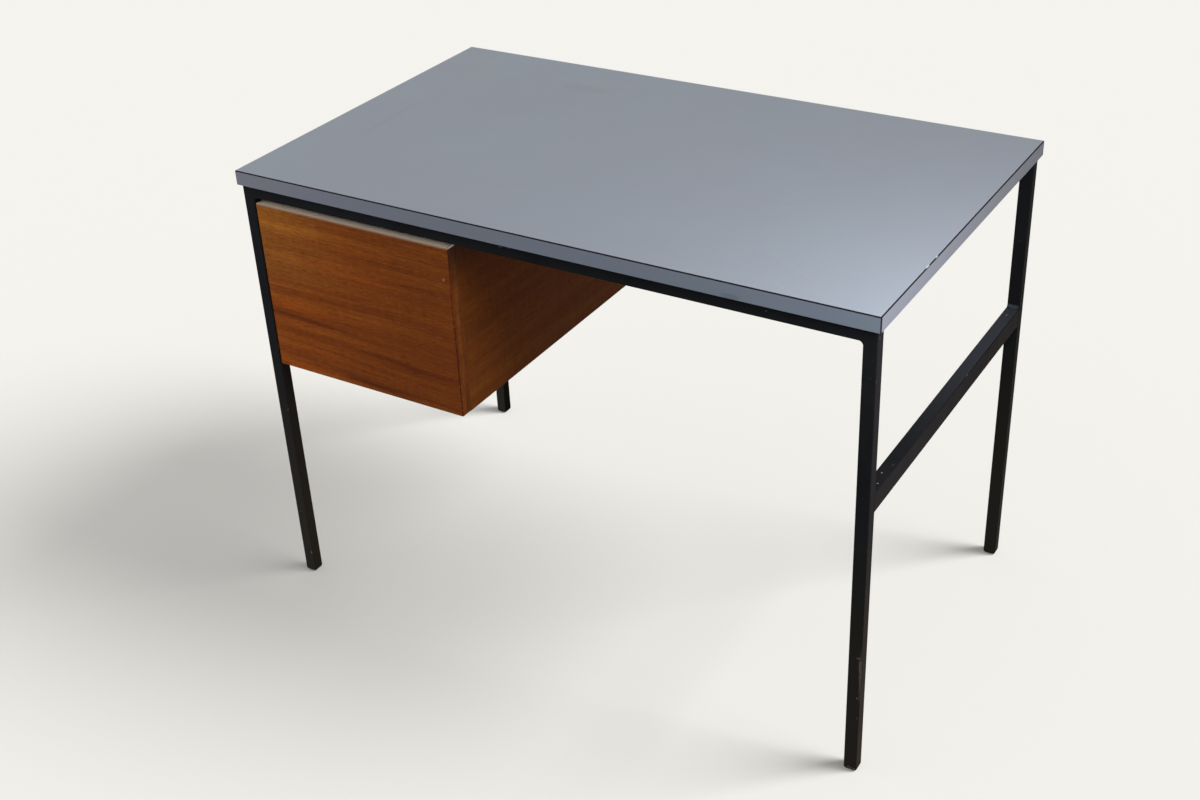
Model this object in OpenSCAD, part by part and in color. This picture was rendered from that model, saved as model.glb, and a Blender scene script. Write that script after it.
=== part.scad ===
// Writing desk: a laminate worktop on a welded frame of square steel tube, with a hanging case
// that holds one deep drawer at the left. X runs left to right, Y front to back and Z up, in
// millimetres. The origin is on the floor under the middle of the worktop.

/* [Worktop] */
// Width of the worktop, left to right
top_w = 1000; // [900:5:1300]
// Depth of the worktop, front to back
top_d = 595; // [540:5:700]
// Height of the work surface above the floor
desk_h = 720; // [690:5:760]
// Thickness of the board inside the worktop
core_t = 19; // [18:0.5:25]
// Thickness of the laminate sheet on top
laminate_t = 1.5; // [0.8:0.1:2]
// Thickness of the balancing sheet under the board
backing_t = 1.5; // [0.8:0.1:2]
// Thickness of the laminate strips on the four edges
edge_t = 1.5; // [0.8:0.1:2]
// How far the worktop stands out past the frame on every side
overhang = 5; // [2:0.5:20]

/* [Steel frame] */
// Side of the square tube
tube = 19; // [16:0.5:25]
// Wall of the tube
tube_wall = 1.5; // [1:0.1:2]
// Outside corner radius of the tube
tube_r = 2; // [1.5:0.1:3]
// Height of the rectangular side stretchers, which are as wide as the legs
stretcher_h = 31; // [20:1:45]
// Underside of the side stretchers above the underside of the drawer case
stretcher_rise = 26; // [20:1:60]
// Radius of the filled welds under the front and rear rails
corner_weld_r = 8; // [5:0.5:9]
// Radius of the filled welds under the stretchers
under_weld_r = 6; // [3:0.5:9]
// Radius of the weld beads on top of the stretchers
bead_r = 5; // [2:0.5:6]

/* [Glides] */
// Thickness of the plastic glide below the tube
glide_t = 4; // [3:0.5:8]
// Height of the glide's plug inside the tube
plug_h = 20; // [12:1:30]
// Gap between the plug and the inside of the tube, each side
plug_gap = 0.2; // [0.1:0.05:0.3]
// How far the foot pad is drawn in from the glide's rim
pad_inset = 1.2; // [0.6:0.1:2]
// Thickness of the foot pad
pad_t = 1; // [0.6:0.1:2]

/* [Drawer case] */
// Outside width of the case
case_w = 345; // [300:0.5:400]
// Height of the case, from its underside to the worktop
case_h = 296; // [250:1:330]
// Thickness of the case panels
panel_t = 16; // [15:0.5:19]
// Thickness of the case's plywood back
back_t = 5; // [3:0.5:8]
// Width of the rebate that holds the back
rebate_w = 6; // [4:0.5:9]
// Thickness of the lippings on the front edges of the case
lipping_t = 3; // [2:0.5:5]
// Diameter of the dowels that join the case
dowel_d = 8; // [5:0.5:9]
// Length of the dowels
dowel_l = 30; // [24:1:36]
// How far a dowel goes into a side panel
dowel_bite = 11; // [8:0.5:12]

/* [Drawer front] */
// Thickness of the drawer front
front_t = 18; // [16:0.5:22]
// Thickness of its face veneer
veneer_t = 0.8; // [0.6:0.1:1.5]
// Thickness of the lippings round its edges
front_lipping_t = 3; // [2:0.5:5]
// Gap over the drawer front, where fingers reach in to pull it
finger_gap = 7.5; // [6:0.5:20]
// Gap between the drawer front and the left front leg
leg_gap = 1.5; // [1:0.25:3]
// Gap between the closed drawer front and the case
close_gap = 0.3; // [0.2:0.05:0.5]

/* [Drawer box] */
// Thickness of the sides, the inner front and the back
box_t = 12; // [11:0.5:15]
// Gap between the box and the case, each side
side_gap = 2; // [1:0.25:4]
// Gap between the underside of the box and the floor of the case
under_gap = 7; // [4:0.5:15]
// Gap between the top of the box and the ceiling of the case
over_gap = 42; // [30:1:80]
// Gap between the back of the box and the back of the case
rear_gap = 42; // [10:1:100]
// Thickness of the drawer bottom
bottom_t = 4; // [3:0.5:6]
// Depth of the grooves that hold the bottom
bottom_groove = 5; // [3:0.5:6]
// Height of the bottom above the lower edge of the sides
bottom_rise = 9; // [7:0.5:15]
// Number of fingers in each corner joint, counting both panels
finger_count = 7; // [5:2:11]

/* [Runners] */
// Height of the wooden runners
runner_h = 16; // [12:0.5:22]
// Depth of the groove for the runner in the drawer side
runner_groove = 6; // [4:0.5:7]
// Running gap over and under the runner
runner_play = 0.2; // [0.1:0.05:0.3]
// Gap between the edge of the runner and the bottom of its groove
runner_tip_gap = 0.5; // [0.3:0.1:1]
// How far the runner stops short of the case, front and back
runner_end_gap = 15; // [10:1:40]

/* [Fasteners] */
// Shank diameter of the screws
screw_d = 4; // [3:0.25:5]
// Head diameter of the screws
head_d = 8; // [7:0.25:10]
// Height of the round heads
head_t = 2.5; // [2:0.1:3]
// How far the screws reach into the worktop
top_bite = 14; // [10:0.5:16]
// How far the case screws reach into a side panel or the drawer front
panel_bite = 11; // [8:0.5:12]
// Distance of the outermost rail screws from the legs
rail_screw_end = 40; // [25:1:80]
// Number of screws through each rail
rail_screw_count = 4; // [2:1:6]
// Distance of the screws in the ceiling of the case from its sides
case_screw_side = 45; // [25:1:100]
// Distance of those screws from the inside of the frame, front and back
case_screw_end = 90; // [60:1:180]
// Distance of the stretcher screws from the legs
stretcher_screw_end = 110; // [60:1:200]
// Distance of the outer runner screws from the ends of the runner
runner_screw_end = 50; // [30:1:100]
// Distance of the drawer front's screws from the sides of the drawer box
front_screw_side = 50; // [30:1:100]
// Distance of those screws from the lower and upper edges of the box
front_screw_end = 48; // [35:1:60]
// Distance of the outer dowels from the inside of the frame, front and back
dowel_end = 70; // [40:1:120]
// Diameter of the pins that hold the back of the case
pin_d = 1.6; // [1.2:0.1:2]
// Length of those pins
pin_l = 22; // [16:1:30]
// Distance of the outer pins from the underside and top of the case
pin_end = 44; // [25:1:80]

/* [Hidden] */
$fn = 48;

// Colours, as red, green and blue from 0 to 1
grey_laminate = [0.60, 0.63, 0.68];
edge_grey = [0.47, 0.50, 0.56];
backing_brown = [0.42, 0.34, 0.27];
chipboard = [0.72, 0.58, 0.40];
black_paint = [0.07, 0.07, 0.08];
black_plastic = [0.05, 0.05, 0.05];
steel = [0.62, 0.62, 0.60];
mahogany = [0.50, 0.26, 0.11];
worn_lipping = [0.62, 0.54, 0.44];
beech = [0.80, 0.64, 0.44];
plywood = [0.76, 0.62, 0.43];
hardboard = [0.45, 0.31, 0.19];

// Clearances that every piece shares
wood_fit = 0.05;    // round a screw, pin or dowel in wood
steel_fit = 0.25;   // round a screw in a hole drilled through the tube
groove_fit = 0.1;   // round the drawer bottom in its grooves
past = 1;           // how far a cutting tool runs past a face

// Details of the screws
slot_w = 0.9;       // width of the driver's slot
slot_depth = 1;     // depth of the slot
tip_d = 0.4;        // diameter of the tip

// Levels
under_z = desk_h - laminate_t - core_t - backing_t;  // underside of the worktop
rail_z = under_z - tube;                              // underside of the rails
case_z = under_z - case_h;                            // underside of the case
stretcher_z = case_z + stretcher_rise;

// Frame planes: outer and inner faces of the legs
out_x = top_w / 2 - overhang;
in_x = out_x - tube;
out_y = top_d / 2 - overhang;
in_y = out_y - tube;
inner_r = max(tube_r - tube_wall, 0.5);

// Case
case_x0 = -in_x;
case_x1 = case_x0 + case_w;
hollow_x0 = case_x0 + panel_t;
hollow_x1 = case_x1 - panel_t;
hollow_z0 = case_z + panel_t;
hollow_z1 = under_z - panel_t;
back_y = in_y - back_t;
panel_y0 = -in_y + lipping_t;

// Drawer front
front_x0 = case_x0 + leg_gap;
front_x1 = case_x1;
front_z1 = rail_z - finger_gap;
front_back_y = -in_y - close_gap;
front_y = front_back_y - front_t;

// Drawer box
box_x0 = hollow_x0 + side_gap;
box_x1 = hollow_x1 - side_gap;
box_y0 = front_back_y;
box_y1 = back_y - rear_gap;
box_z0 = hollow_z0 + under_gap;
box_z1 = hollow_z1 - over_gap;
finger_h = (box_z1 - box_z0) / finger_count;
bottom_z = box_z0 + bottom_rise;

// Runners
runner_z = (box_z0 + box_z1 - runner_h) / 2;
runner_w = side_gap + runner_groove - runner_tip_gap;
runner_y0 = panel_y0 + runner_end_gap;
runner_y1 = back_y - runner_end_gap;
runner_mid_y = (runner_y0 + runner_y1) / 2;
runner_screw_y = (runner_y1 - runner_y0) / 2 - runner_screw_end;
sink_t = screw_d / 2;

// Places of the screws and dowels
leg_x = (in_x + out_x) / 2;
leg_y = (in_y + out_y) / 2;
rail_screw_x = in_x - rail_screw_end;
rail_screw_step = 2 * rail_screw_x / (rail_screw_count - 1);
case_mid_x = (case_x0 + case_x1) / 2;
case_screw_x = (hollow_x1 - hollow_x0) / 2 - case_screw_side;
case_screw_y = in_y - case_screw_end;
stretcher_mid_z = stretcher_z + stretcher_h / 2;
stretcher_screw_y = in_y - stretcher_screw_end;
dowel_y = in_y - dowel_end;
front_screw_x = (box_x1 - box_x0) / 2 - front_screw_side;
front_screw_rise = (box_z1 - box_z0) / 2 - front_screw_end;

// A block between two opposite corners
module block(low, high) {
    translate(low) cube(high - low);
}

// A square or oblong with round corners, centred on the origin
module round_oblong(w, h, r) {
    square([w - 2 * r, h], center = true);
    square([w, h - 2 * r], center = true);
    for (x = [-1, 1], y = [-1, 1])
        translate([x * (w / 2 - r), y * (h / 2 - r)]) circle(r);
}

// Hollow tube, w by h outside, standing on the floor plane and l long
module hollow_tube(w, h, l) {
    linear_extrude(l)
        difference() {
            round_oblong(w, h, tube_r);
            round_oblong(w - 2 * tube_wall, h - 2 * tube_wall, inner_r);
        }
}

// Round-headed wood screw: the head sits under z = 0 and the shank points up
module round_screw(length) {
    ball_r = (pow(head_d / 2, 2) + pow(head_t, 2)) / (2 * head_t);
    cylinder(d = screw_d, h = length - screw_d);
    translate([0, 0, length - screw_d]) cylinder(d1 = screw_d, d2 = tip_d, h = screw_d);
    difference() {
        intersection() {
            translate([0, 0, ball_r - head_t]) sphere(ball_r);
            translate([0, 0, -head_t]) cylinder(d = head_d, h = head_t);
        }
        translate([0, 0, -head_t]) cube([head_d, slot_w, 2 * slot_depth], center = true);
    }
}

// Countersunk wood screw: the flat of the head is at z = 0 and the shank points up
module sunk_screw(length) {
    cylinder(d1 = screw_d * 2, d2 = screw_d, h = sink_t);
    translate([0, 0, sink_t]) cylinder(d = screw_d, h = length - sink_t);
}

// Blind or through hole for a shank, pointing up from z = 0
module pilot(length, fit = wood_fit) {
    translate([0, 0, -past]) cylinder(r = screw_d / 2 + fit, h = length + past);
}

// Where the screws go
module at_rail_screws() {
    for (y = [-1, 1], i = [0:rail_screw_count - 1])
        translate([i * rail_screw_step - rail_screw_x, y * leg_y, 0]) children();
}

module at_case_top_screws() {
    for (x = [-1, 1], y = [-1, 1])
        translate([case_mid_x + x * case_screw_x, y * case_screw_y, 0]) children();
}

module at_case_side_screws() {
    for (y = [-1, 1])
        translate([-out_x, y * stretcher_screw_y, stretcher_mid_z]) rotate([0, 90, 0]) children();
}

module at_runner_screws(side) {
    x = side < 0 ? hollow_x0 + runner_w : hollow_x1 - runner_w;
    for (i = [-1:1])
        translate([x, runner_mid_y + i * runner_screw_y, runner_z + runner_h / 2])
            rotate([0, side * 90, 0]) children();
}

module at_front_screws() {
    for (x = [-1, 1], z = [-1, 1])
        translate([(box_x0 + box_x1) / 2 + x * front_screw_x, box_y0 + box_t,
            (box_z0 + box_z1) / 2 + z * front_screw_rise]) rotate([90, 0, 0]) children();
}

// Three dowels across each of the four corners of the case
module at_dowels(side) {
    x = side < 0 ? hollow_x0 : hollow_x1;
    for (z = [case_z + panel_t / 2, under_z - panel_t / 2], i = [-1:1])
        translate([x, i * dowel_y, z]) rotate([0, -side * 90, 0]) children();
}

module dowel(fit = 0) {
    translate([0, 0, -dowel_bite - fit])
        cylinder(r = dowel_d / 2 + fit, h = dowel_l + 2 * fit);
}

// Pins round the back of the case, pointing forwards
module at_back_pins() {
    edge = rebate_w / 2;
    rise = case_h / 2 - pin_end;
    for (i = [-1:1], x = [hollow_x0 - edge, hollow_x1 + edge])
        translate([x, in_y, case_z + case_h / 2 + i * rise]) rotate([90, 0, 0]) children();
}

module pin(fit = 0) {
    translate([0, 0, -fit]) cylinder(d = pin_d + 2 * fit, h = pin_l + 2 * fit, $fn = 24);
}

// The worktop
module top_laminate() {
    color(grey_laminate)
        block([-top_w / 2, -top_d / 2, desk_h - laminate_t], [top_w / 2, top_d / 2, desk_h]);
}

module worktop_pilots() {
    at_rail_screws() translate([0, 0, under_z]) pilot(top_bite);
    at_case_top_screws() translate([0, 0, under_z]) pilot(top_bite);
}

module top_core() {
    x = top_w / 2 - edge_t;
    y = top_d / 2 - edge_t;
    color(chipboard) difference() {
        block([-x, -y, under_z + backing_t], [x, y, desk_h - laminate_t]);
        worktop_pilots();
    }
}

module top_backing() {
    x = top_w / 2 - edge_t;
    y = top_d / 2 - edge_t;
    color(backing_brown) difference() {
        block([-x, -y, under_z], [x, y, under_z + backing_t]);
        worktop_pilots();
    }
}

// Front and back strips run the full width, and the side strips fit between them
module edge_band_long(side) {
    y = side * top_d / 2;
    color(edge_grey) block([-top_w / 2, min(y, y - side * edge_t), under_z],
        [top_w / 2, max(y, y - side * edge_t), desk_h - laminate_t]);
}

module edge_band_short(side) {
    x = side * top_w / 2;
    y = top_d / 2 - edge_t;
    color(edge_grey) block([min(x, x - side * edge_t), -y, under_z],
        [max(x, x - side * edge_t), y, desk_h - laminate_t]);
}

// The frame
module leg(x, y) {
    color(black_paint)
        translate([x * leg_x, y * leg_y, glide_t])
            hollow_tube(tube, tube, under_z - glide_t);
}

module rail(y) {
    color(black_paint) difference() {
        translate([-in_x, y * leg_y, rail_z + tube / 2]) rotate([0, 90, 0])
            hollow_tube(tube, tube, 2 * in_x);
        at_rail_screws() translate([0, 0, rail_z]) pilot(tube + past, steel_fit);
    }
}

module stretcher(x) {
    color(black_paint) difference() {
        translate([x * leg_x, in_y, stretcher_mid_z]) rotate([90, 0, 0])
            hollow_tube(tube, stretcher_h, 2 * in_y);
        if (x < 0) at_case_side_screws() pilot(tube + past, steel_fit);
    }
}

// A weld that fills the inside corner of two tubes, with the corner at the origin, one tube
// along +X and the other along +Z, and l wide along Y
module corner_fill(r, l) {
    rotate([90, 0, 0]) translate([0, 0, -l / 2]) linear_extrude(l)
        difference() {
            square(r);
            translate([r, r]) circle(r);
        }
}

// A round weld bead in the same corner
module corner_bead(r, l) {
    rotate([90, 0, 0]) translate([0, 0, -l / 2]) linear_extrude(l)
        intersection() {
            square(r);
            circle(r);
        }
}

module corner_welds() {
    width = tube - 2 * tube_r;
    color(black_paint)
        for (x = [0, 1], y = [-1, 1])
            translate([0, y * leg_y, rail_z])
                mirror([x, 0, 0]) translate([-in_x, 0, 0])
                    mirror([0, 0, 1]) corner_fill(corner_weld_r, width);
}

module stretcher_welds() {
    width = tube - 2 * tube_r;
    color(black_paint)
        for (x = [-1, 1], y = [0, 1])
            translate([x * leg_x, 0, 0]) mirror([0, y, 0]) {
                translate([0, -in_y, stretcher_z]) mirror([0, 0, 1]) rotate([0, 0, 90])
                    corner_fill(under_weld_r, width);
                translate([0, -in_y, stretcher_z + stretcher_h]) rotate([0, 0, 90])
                    corner_bead(bead_r, width);
            }
}

module glide(x, y) {
    plug = tube - 2 * tube_wall - 2 * plug_gap;
    pad = tube - 2 * pad_inset;
    color(black_plastic)
        translate([x * leg_x, y * leg_y, 0]) {
            linear_extrude(pad_t) round_oblong(pad, pad, tube_r);
            translate([0, 0, pad_t]) linear_extrude(glide_t - pad_t)
                round_oblong(tube, tube, tube_r);
            translate([0, 0, glide_t]) linear_extrude(plug_h)
                round_oblong(plug, plug, inner_r);
        }
}

module rail_screws() {
    color(steel) at_rail_screws() translate([0, 0, rail_z]) round_screw(tube + top_bite);
}

// The case
module case_side(side) {
    x0 = side < 0 ? case_x0 : hollow_x1;
    rebate_x = side < 0 ? hollow_x0 - rebate_w : hollow_x1;
    color(mahogany) difference() {
        block([x0, panel_y0, case_z], [x0 + panel_t, in_y, under_z]);
        block([rebate_x, back_y, case_z - past], [rebate_x + rebate_w, in_y + past, under_z + past]);
        at_dowels(side) dowel(wood_fit);
        at_runner_screws(side) pilot(runner_w + panel_bite);
        at_back_pins() pin(wood_fit);
        if (side < 0) at_case_side_screws() translate([0, 0, tube]) pilot(panel_bite);
    }
}

module case_top() {
    color(beech) difference() {
        block([hollow_x0, -in_y, hollow_z1], [hollow_x1, back_y, under_z]);
        at_dowels(-1) dowel(wood_fit);
        at_dowels(1) dowel(wood_fit);
        at_case_top_screws() translate([0, 0, hollow_z1]) pilot(panel_t + past);
    }
}

module case_bottom() {
    color(mahogany) difference() {
        block([hollow_x0, panel_y0, case_z], [hollow_x1, back_y, hollow_z0]);
        at_dowels(-1) dowel(wood_fit);
        at_dowels(1) dowel(wood_fit);
    }
}

module case_back() {
    color(plywood) difference() {
        block([hollow_x0 - rebate_w, back_y, case_z], [hollow_x1 + rebate_w, in_y, under_z]);
        at_back_pins() pin(wood_fit);
    }
}

module case_lipping_side(side) {
    x0 = side < 0 ? case_x0 : hollow_x1;
    color(mahogany) block([x0, -in_y, case_z], [x0 + panel_t, panel_y0, under_z]);
}

module case_lipping_bottom() {
    color(mahogany) block([hollow_x0, -in_y, case_z], [hollow_x1, panel_y0, hollow_z0]);
}

module case_dowels() {
    color(beech) for (side = [-1, 1]) at_dowels(side) dowel();
}

module case_top_screws() {
    color(steel)
        at_case_top_screws() translate([0, 0, hollow_z1]) round_screw(panel_t + top_bite);
}

module case_side_screws() {
    color(steel) at_case_side_screws() round_screw(tube + panel_bite);
}

module back_pins() {
    color(steel) at_back_pins() pin();
}

module runner(side) {
    x0 = side < 0 ? hollow_x0 : hollow_x1 - runner_w;
    color(beech) difference() {
        block([x0, runner_y0, runner_z], [x0 + runner_w, runner_y1, runner_z + runner_h]);
        at_runner_screws(side) {
            pilot(runner_w + past);
            cylinder(r1 = screw_d + wood_fit, r2 = screw_d / 2 + wood_fit, h = sink_t);
        }
    }
}

module runner_screws() {
    color(steel) for (side = [-1, 1]) at_runner_screws(side) sunk_screw(runner_w + panel_bite);
}

// The drawer front: a core framed by four lippings, with a veneer over its face
module drawer_front_core() {
    color(mahogany) difference() {
        block([front_x0 + front_lipping_t, front_y + veneer_t, case_z + front_lipping_t],
            [front_x1 - front_lipping_t, front_back_y, front_z1 - front_lipping_t]);
        at_front_screws() translate([0, 0, box_t]) pilot(panel_bite);
    }
}

module drawer_front_veneer() {
    color(mahogany)
        block([front_x0, front_y, case_z], [front_x1, front_y + veneer_t, front_z1]);
}

module drawer_lipping_level(z, colour) {
    color(colour) block([front_x0, front_y + veneer_t, z],
        [front_x1, front_back_y, z + front_lipping_t]);
}

module drawer_lipping_top() {
    drawer_lipping_level(front_z1 - front_lipping_t, worn_lipping);
}

module drawer_lipping_bottom() {
    drawer_lipping_level(case_z, mahogany);
}

module drawer_lipping_upright(x) {
    color(mahogany) block([x, front_y + veneer_t, case_z + front_lipping_t],
        [x + front_lipping_t, front_back_y, front_z1 - front_lipping_t]);
}

// The channel in the drawer side that takes the runner
module runner_channel(side) {
    x = side < 0 ? box_x0 : box_x1;
    block([min(x, x - side * runner_groove) - (side < 0 ? past : 0), box_y0 - past,
            runner_z - runner_play],
        [max(x, x - side * runner_groove) + (side > 0 ? past : 0), box_y1 + past,
            runner_z + runner_h + runner_play]);
}

module bottom_panel(fit) {
    reach = box_t - bottom_groove - fit;
    block([box_x0 + reach, box_y0 + reach, bottom_z - fit],
        [box_x1 - reach, box_y1 - reach, bottom_z + bottom_t + fit]);
}

// Every second finger of a corner joint, over the full width of the box
module fingers(y0) {
    for (i = [1:2:finger_count - 1])
        block([box_x0, y0, box_z0 + i * finger_h],
            [box_x1, y0 + box_t, box_z0 + (i + 1) * finger_h]);
}

// The inner front and the back: a panel between the sides with fingers out to their faces
module cross_panel(y0) {
    color(beech) difference() {
        union() {
            block([box_x0 + box_t, y0, box_z0], [box_x1 - box_t, y0 + box_t, box_z1]);
            fingers(y0);
        }
        bottom_panel(groove_fit);
        runner_channel(-1);
        runner_channel(1);
        at_front_screws() pilot(box_t + past);
    }
}

module drawer_side(side) {
    x0 = side < 0 ? box_x0 : box_x1 - box_t;
    color(beech) difference() {
        block([x0, box_y0, box_z0], [x0 + box_t, box_y1, box_z1]);
        fingers(box_y0);
        fingers(box_y1 - box_t);
        bottom_panel(groove_fit);
        runner_channel(side);
    }
}

module drawer_bottom() {
    color(hardboard) bottom_panel(0);
}

module drawer_front_screws() {
    color(steel) at_front_screws() round_screw(box_t + panel_bite);
}

top_laminate();
top_core();
top_backing();
edge_band_long(-1);  // edge_band_front
edge_band_long(1);  // edge_band_back
edge_band_short(-1);  // edge_band_left
edge_band_short(1);  // edge_band_right
leg(-1, -1);  // leg_front_left
leg(1, -1);  // leg_front_right
leg(-1, 1);  // leg_rear_left
leg(1, 1);  // leg_rear_right
rail(-1);  // rail_front
rail(1);  // rail_rear
stretcher(-1);  // stretcher_left
stretcher(1);  // stretcher_right
corner_welds();
stretcher_welds();
glide(-1, -1);  // glide_front_left
glide(1, -1);  // glide_front_right
glide(-1, 1);  // glide_rear_left
glide(1, 1);  // glide_rear_right
rail_screws();
case_side(-1);  // case_side_left
case_side(1);  // case_side_right
case_top();
case_bottom();
case_back();
case_lipping_side(-1);  // case_lipping_left
case_lipping_side(1);  // case_lipping_right
case_lipping_bottom();
case_dowels();
case_top_screws();
case_side_screws();
back_pins();
runner(-1);  // runner_left
runner(1);  // runner_right
runner_screws();
drawer_front_core();
drawer_front_veneer();
drawer_lipping_top();
drawer_lipping_bottom();
drawer_lipping_upright(front_x0);  // drawer_lipping_left
drawer_lipping_upright(front_x1 - front_lipping_t);  // drawer_lipping_right
cross_panel(box_y0);  // drawer_inner_front
cross_panel(box_y1 - box_t);  // drawer_back
drawer_side(-1);  // drawer_side_left
drawer_side(1);  // drawer_side_right
drawer_bottom();
drawer_front_screws();
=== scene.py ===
"""Looks of the writing desk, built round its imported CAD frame. Lengths are in metres, X runs left
to right, Y front to back and Z up, with the origin on the floor under the middle of the worktop."""

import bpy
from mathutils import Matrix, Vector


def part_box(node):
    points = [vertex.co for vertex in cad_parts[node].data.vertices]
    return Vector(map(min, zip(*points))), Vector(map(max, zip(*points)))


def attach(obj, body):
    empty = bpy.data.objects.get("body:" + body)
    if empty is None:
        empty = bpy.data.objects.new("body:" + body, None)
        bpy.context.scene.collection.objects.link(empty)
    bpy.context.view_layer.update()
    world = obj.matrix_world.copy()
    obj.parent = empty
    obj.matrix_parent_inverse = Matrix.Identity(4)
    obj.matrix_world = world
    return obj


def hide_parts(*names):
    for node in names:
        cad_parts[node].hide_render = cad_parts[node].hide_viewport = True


bl_info = {
    "name": "Writing desk",
    "version": (1, 0, 0),
    "blender": (4, 5, 0),
    "location": "3D View > Sidebar > Writing desk",
    "description": "Laminate-topped writing desk on a welded tube frame, with one deep drawer",
    "category": "Add Mesh",
}

import math

import bmesh
import bpy
import numpy as np

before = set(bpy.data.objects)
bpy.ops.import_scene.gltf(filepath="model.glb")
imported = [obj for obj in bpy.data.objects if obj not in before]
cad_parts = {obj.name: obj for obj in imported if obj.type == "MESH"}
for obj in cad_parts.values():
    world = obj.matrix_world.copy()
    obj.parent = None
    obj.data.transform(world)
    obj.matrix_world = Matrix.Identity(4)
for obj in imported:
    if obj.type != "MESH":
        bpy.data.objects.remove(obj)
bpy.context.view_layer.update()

PLACES = ("front_left", "front_right", "rear_left", "rear_right")
ALONG, ACROSS, UPRIGHT = (0, 0, 0), (0, 0, math.pi / 2), (0, math.pi / 2, 0)  # ways of the grain
SHARP = 2e-5    # easing of an end that stays sharp
MERGE = 1e-6    # points nearer than this are one
LEVEL = 0.9995  # a face looks along an axis when this much of its normal does
FEET = "Legs and glides"


def shade(red, green, blue):
    """Scene colour of a screen colour given from 0 to 255."""
    c = np.array([red, green, blue]) / 255
    return tuple(np.where(c > 0.04045, ((c + 0.055) / 1.055) ** 2.4, c / 12.92).tolist())


def toned(colour, *factors):
    """A colour with its parts multiplied by one number or by three, and kept within 1."""
    factors = factors * 3 if len(factors) == 1 else factors
    return tuple(min(c * f, 1.0) for c, f in zip(colour, factors))


def corners(node):
    """Lowest and highest corner of a CAD node."""
    low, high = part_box(node)
    return np.array(low), np.array(high)


def length(label, about, value):
    return bpy.props.FloatProperty(
        name=label, description=about, default=value, min=0.0, max=0.05, precision=5,
        subtype="DISTANCE", unit="LENGTH")


def colour(label, about, red, green, blue):
    return bpy.props.FloatVectorProperty(
        name=label, description=about, default=shade(red, green, blue), size=3, min=0.0,
        max=1.0, subtype="COLOR")


class DeskSizes(bpy.types.PropertyGroup):
    """Sizes of the details that the CAD model leaves plain."""

    sheet_edge: length("Sheet edge", "How far the edge of the top sheet is eased", 0.00125)
    strip_edge: length("Strip edge", "How far the edges of the edge strips are eased", 0.0003)
    board_edge: length("Board edge", "How far the edges of the case boards are eased", 0.0006)
    box_edge: length("Box edge", "How far the edges of the drawer box are eased", 0.0004)
    front_edge: length("Front edge", "How far the edge of the drawer front is eased", 0.0007)
    hand_wear: length("Hand wear", "How deep hands have worn the top of the front", 0.0012)
    tube_round: length("Tube corner", "Outside corner radius of the tubes", 0.002)
    weld_fill: length("Corner weld", "Radius of the filled welds under the rails", 0.008)
    weld_under: length("Lower weld", "Radius of the filled welds under the stretchers", 0.006)
    weld_bead: length("Weld bead", "Radius of the weld beads on the stretchers", 0.005)
    foot_round: length("Foot edge", "How far the foot of a glide is rounded", 0.0036)


class DeskColours(bpy.types.PropertyGroup):
    """Main colours of the desk's finishes."""

    laminate: colour("Laminate", "Sheet on top of the worktop", 131, 137, 149)
    strip: colour("Edge strip", "Laminate strips round the worktop", 118, 122, 136)
    sheet_core: colour("Sheet core", "Dark edge of the laminate", 27, 20, 27)
    backing: colour("Backing", "Balancing sheet under the worktop", 104, 82, 64)
    paint: colour("Paint", "Paint on the steel frame", 26, 27, 29)
    plastic: colour("Plastic", "Glides under the legs", 20, 20, 21)
    zinc: colour("Zinc", "Screws and pins", 168, 167, 160)
    wood_light: colour("Light mahogany", "Light streaks of the drawer front", 168, 99, 30)
    wood_mid: colour("Mahogany", "Ground colour of the drawer front", 133, 68, 20)
    wood_dark: colour("Dark mahogany", "Dark streaks of the drawer front", 90, 40, 14)
    lipping: colour("Worn lipping", "Worn wood on top of the drawer front", 246, 228, 208)
    beech: colour("Beech", "Drawer box, runners and dowels", 203, 166, 120)
    ply: colour("Plywood", "Back of the case", 194, 158, 112)
    board: colour("Hardboard", "Drawer bottom", 112, 78, 50)


def chosen(context):
    """The sizes, and the colours by name as plain tuples, with the mahogany's three as one."""
    scene = context.scene
    colours = {key: tuple(getattr(scene.desk_colours, key)) for key in DeskColours.__annotations__}
    colours["mahogany"] = [colours["wood_" + tone] for tone in ("light", "mid", "dark")]
    return scene.desk_sizes, colours


# Shapes

def oblong(half_a, half_b, radius, steps):
    """Round-cornered oblongs about the origin, one for each entry of the arrays: each corner is a
    quarter circle of the given radius round (half_a - radius, half_b - radius) and its mirrors."""
    turn = np.arange(4)[:, None] * np.pi / 2 + np.linspace(0, np.pi / 2, steps)
    side_a = np.array([1, -1, -1, 1])[:, None]
    side_b = np.array([1, 1, -1, -1])[:, None]
    half_a, half_b, radius = (np.reshape(v, (-1, 1, 1)) for v in (half_a, half_b, radius))
    a = side_a * (half_a - radius) + radius * np.cos(turn)
    b = side_b * (half_b - radius) + radius * np.sin(turn)
    return np.stack([a, b], -1).reshape(len(half_a), -1, 2)


def stacked(low, high, axis, level, inset, radius, steps):
    """Grid of points of a box's round-cornered oblong, carried along one axis: each row has a
    level, an inset from the box's sides and a corner radius."""
    a, b = (i for i in range(3) if i != axis)
    half, middle = (high - low) / 2, (high + low) / 2
    outline = oblong(half[a] - inset, half[b] - inset, radius, steps)
    rows = np.empty(outline.shape[:2] + (3,))
    rows[..., axis] = level[:, None]
    rows[..., a] = middle[a] + outline[..., 0]
    rows[..., b] = middle[b] + outline[..., 1]
    return rows


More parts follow.
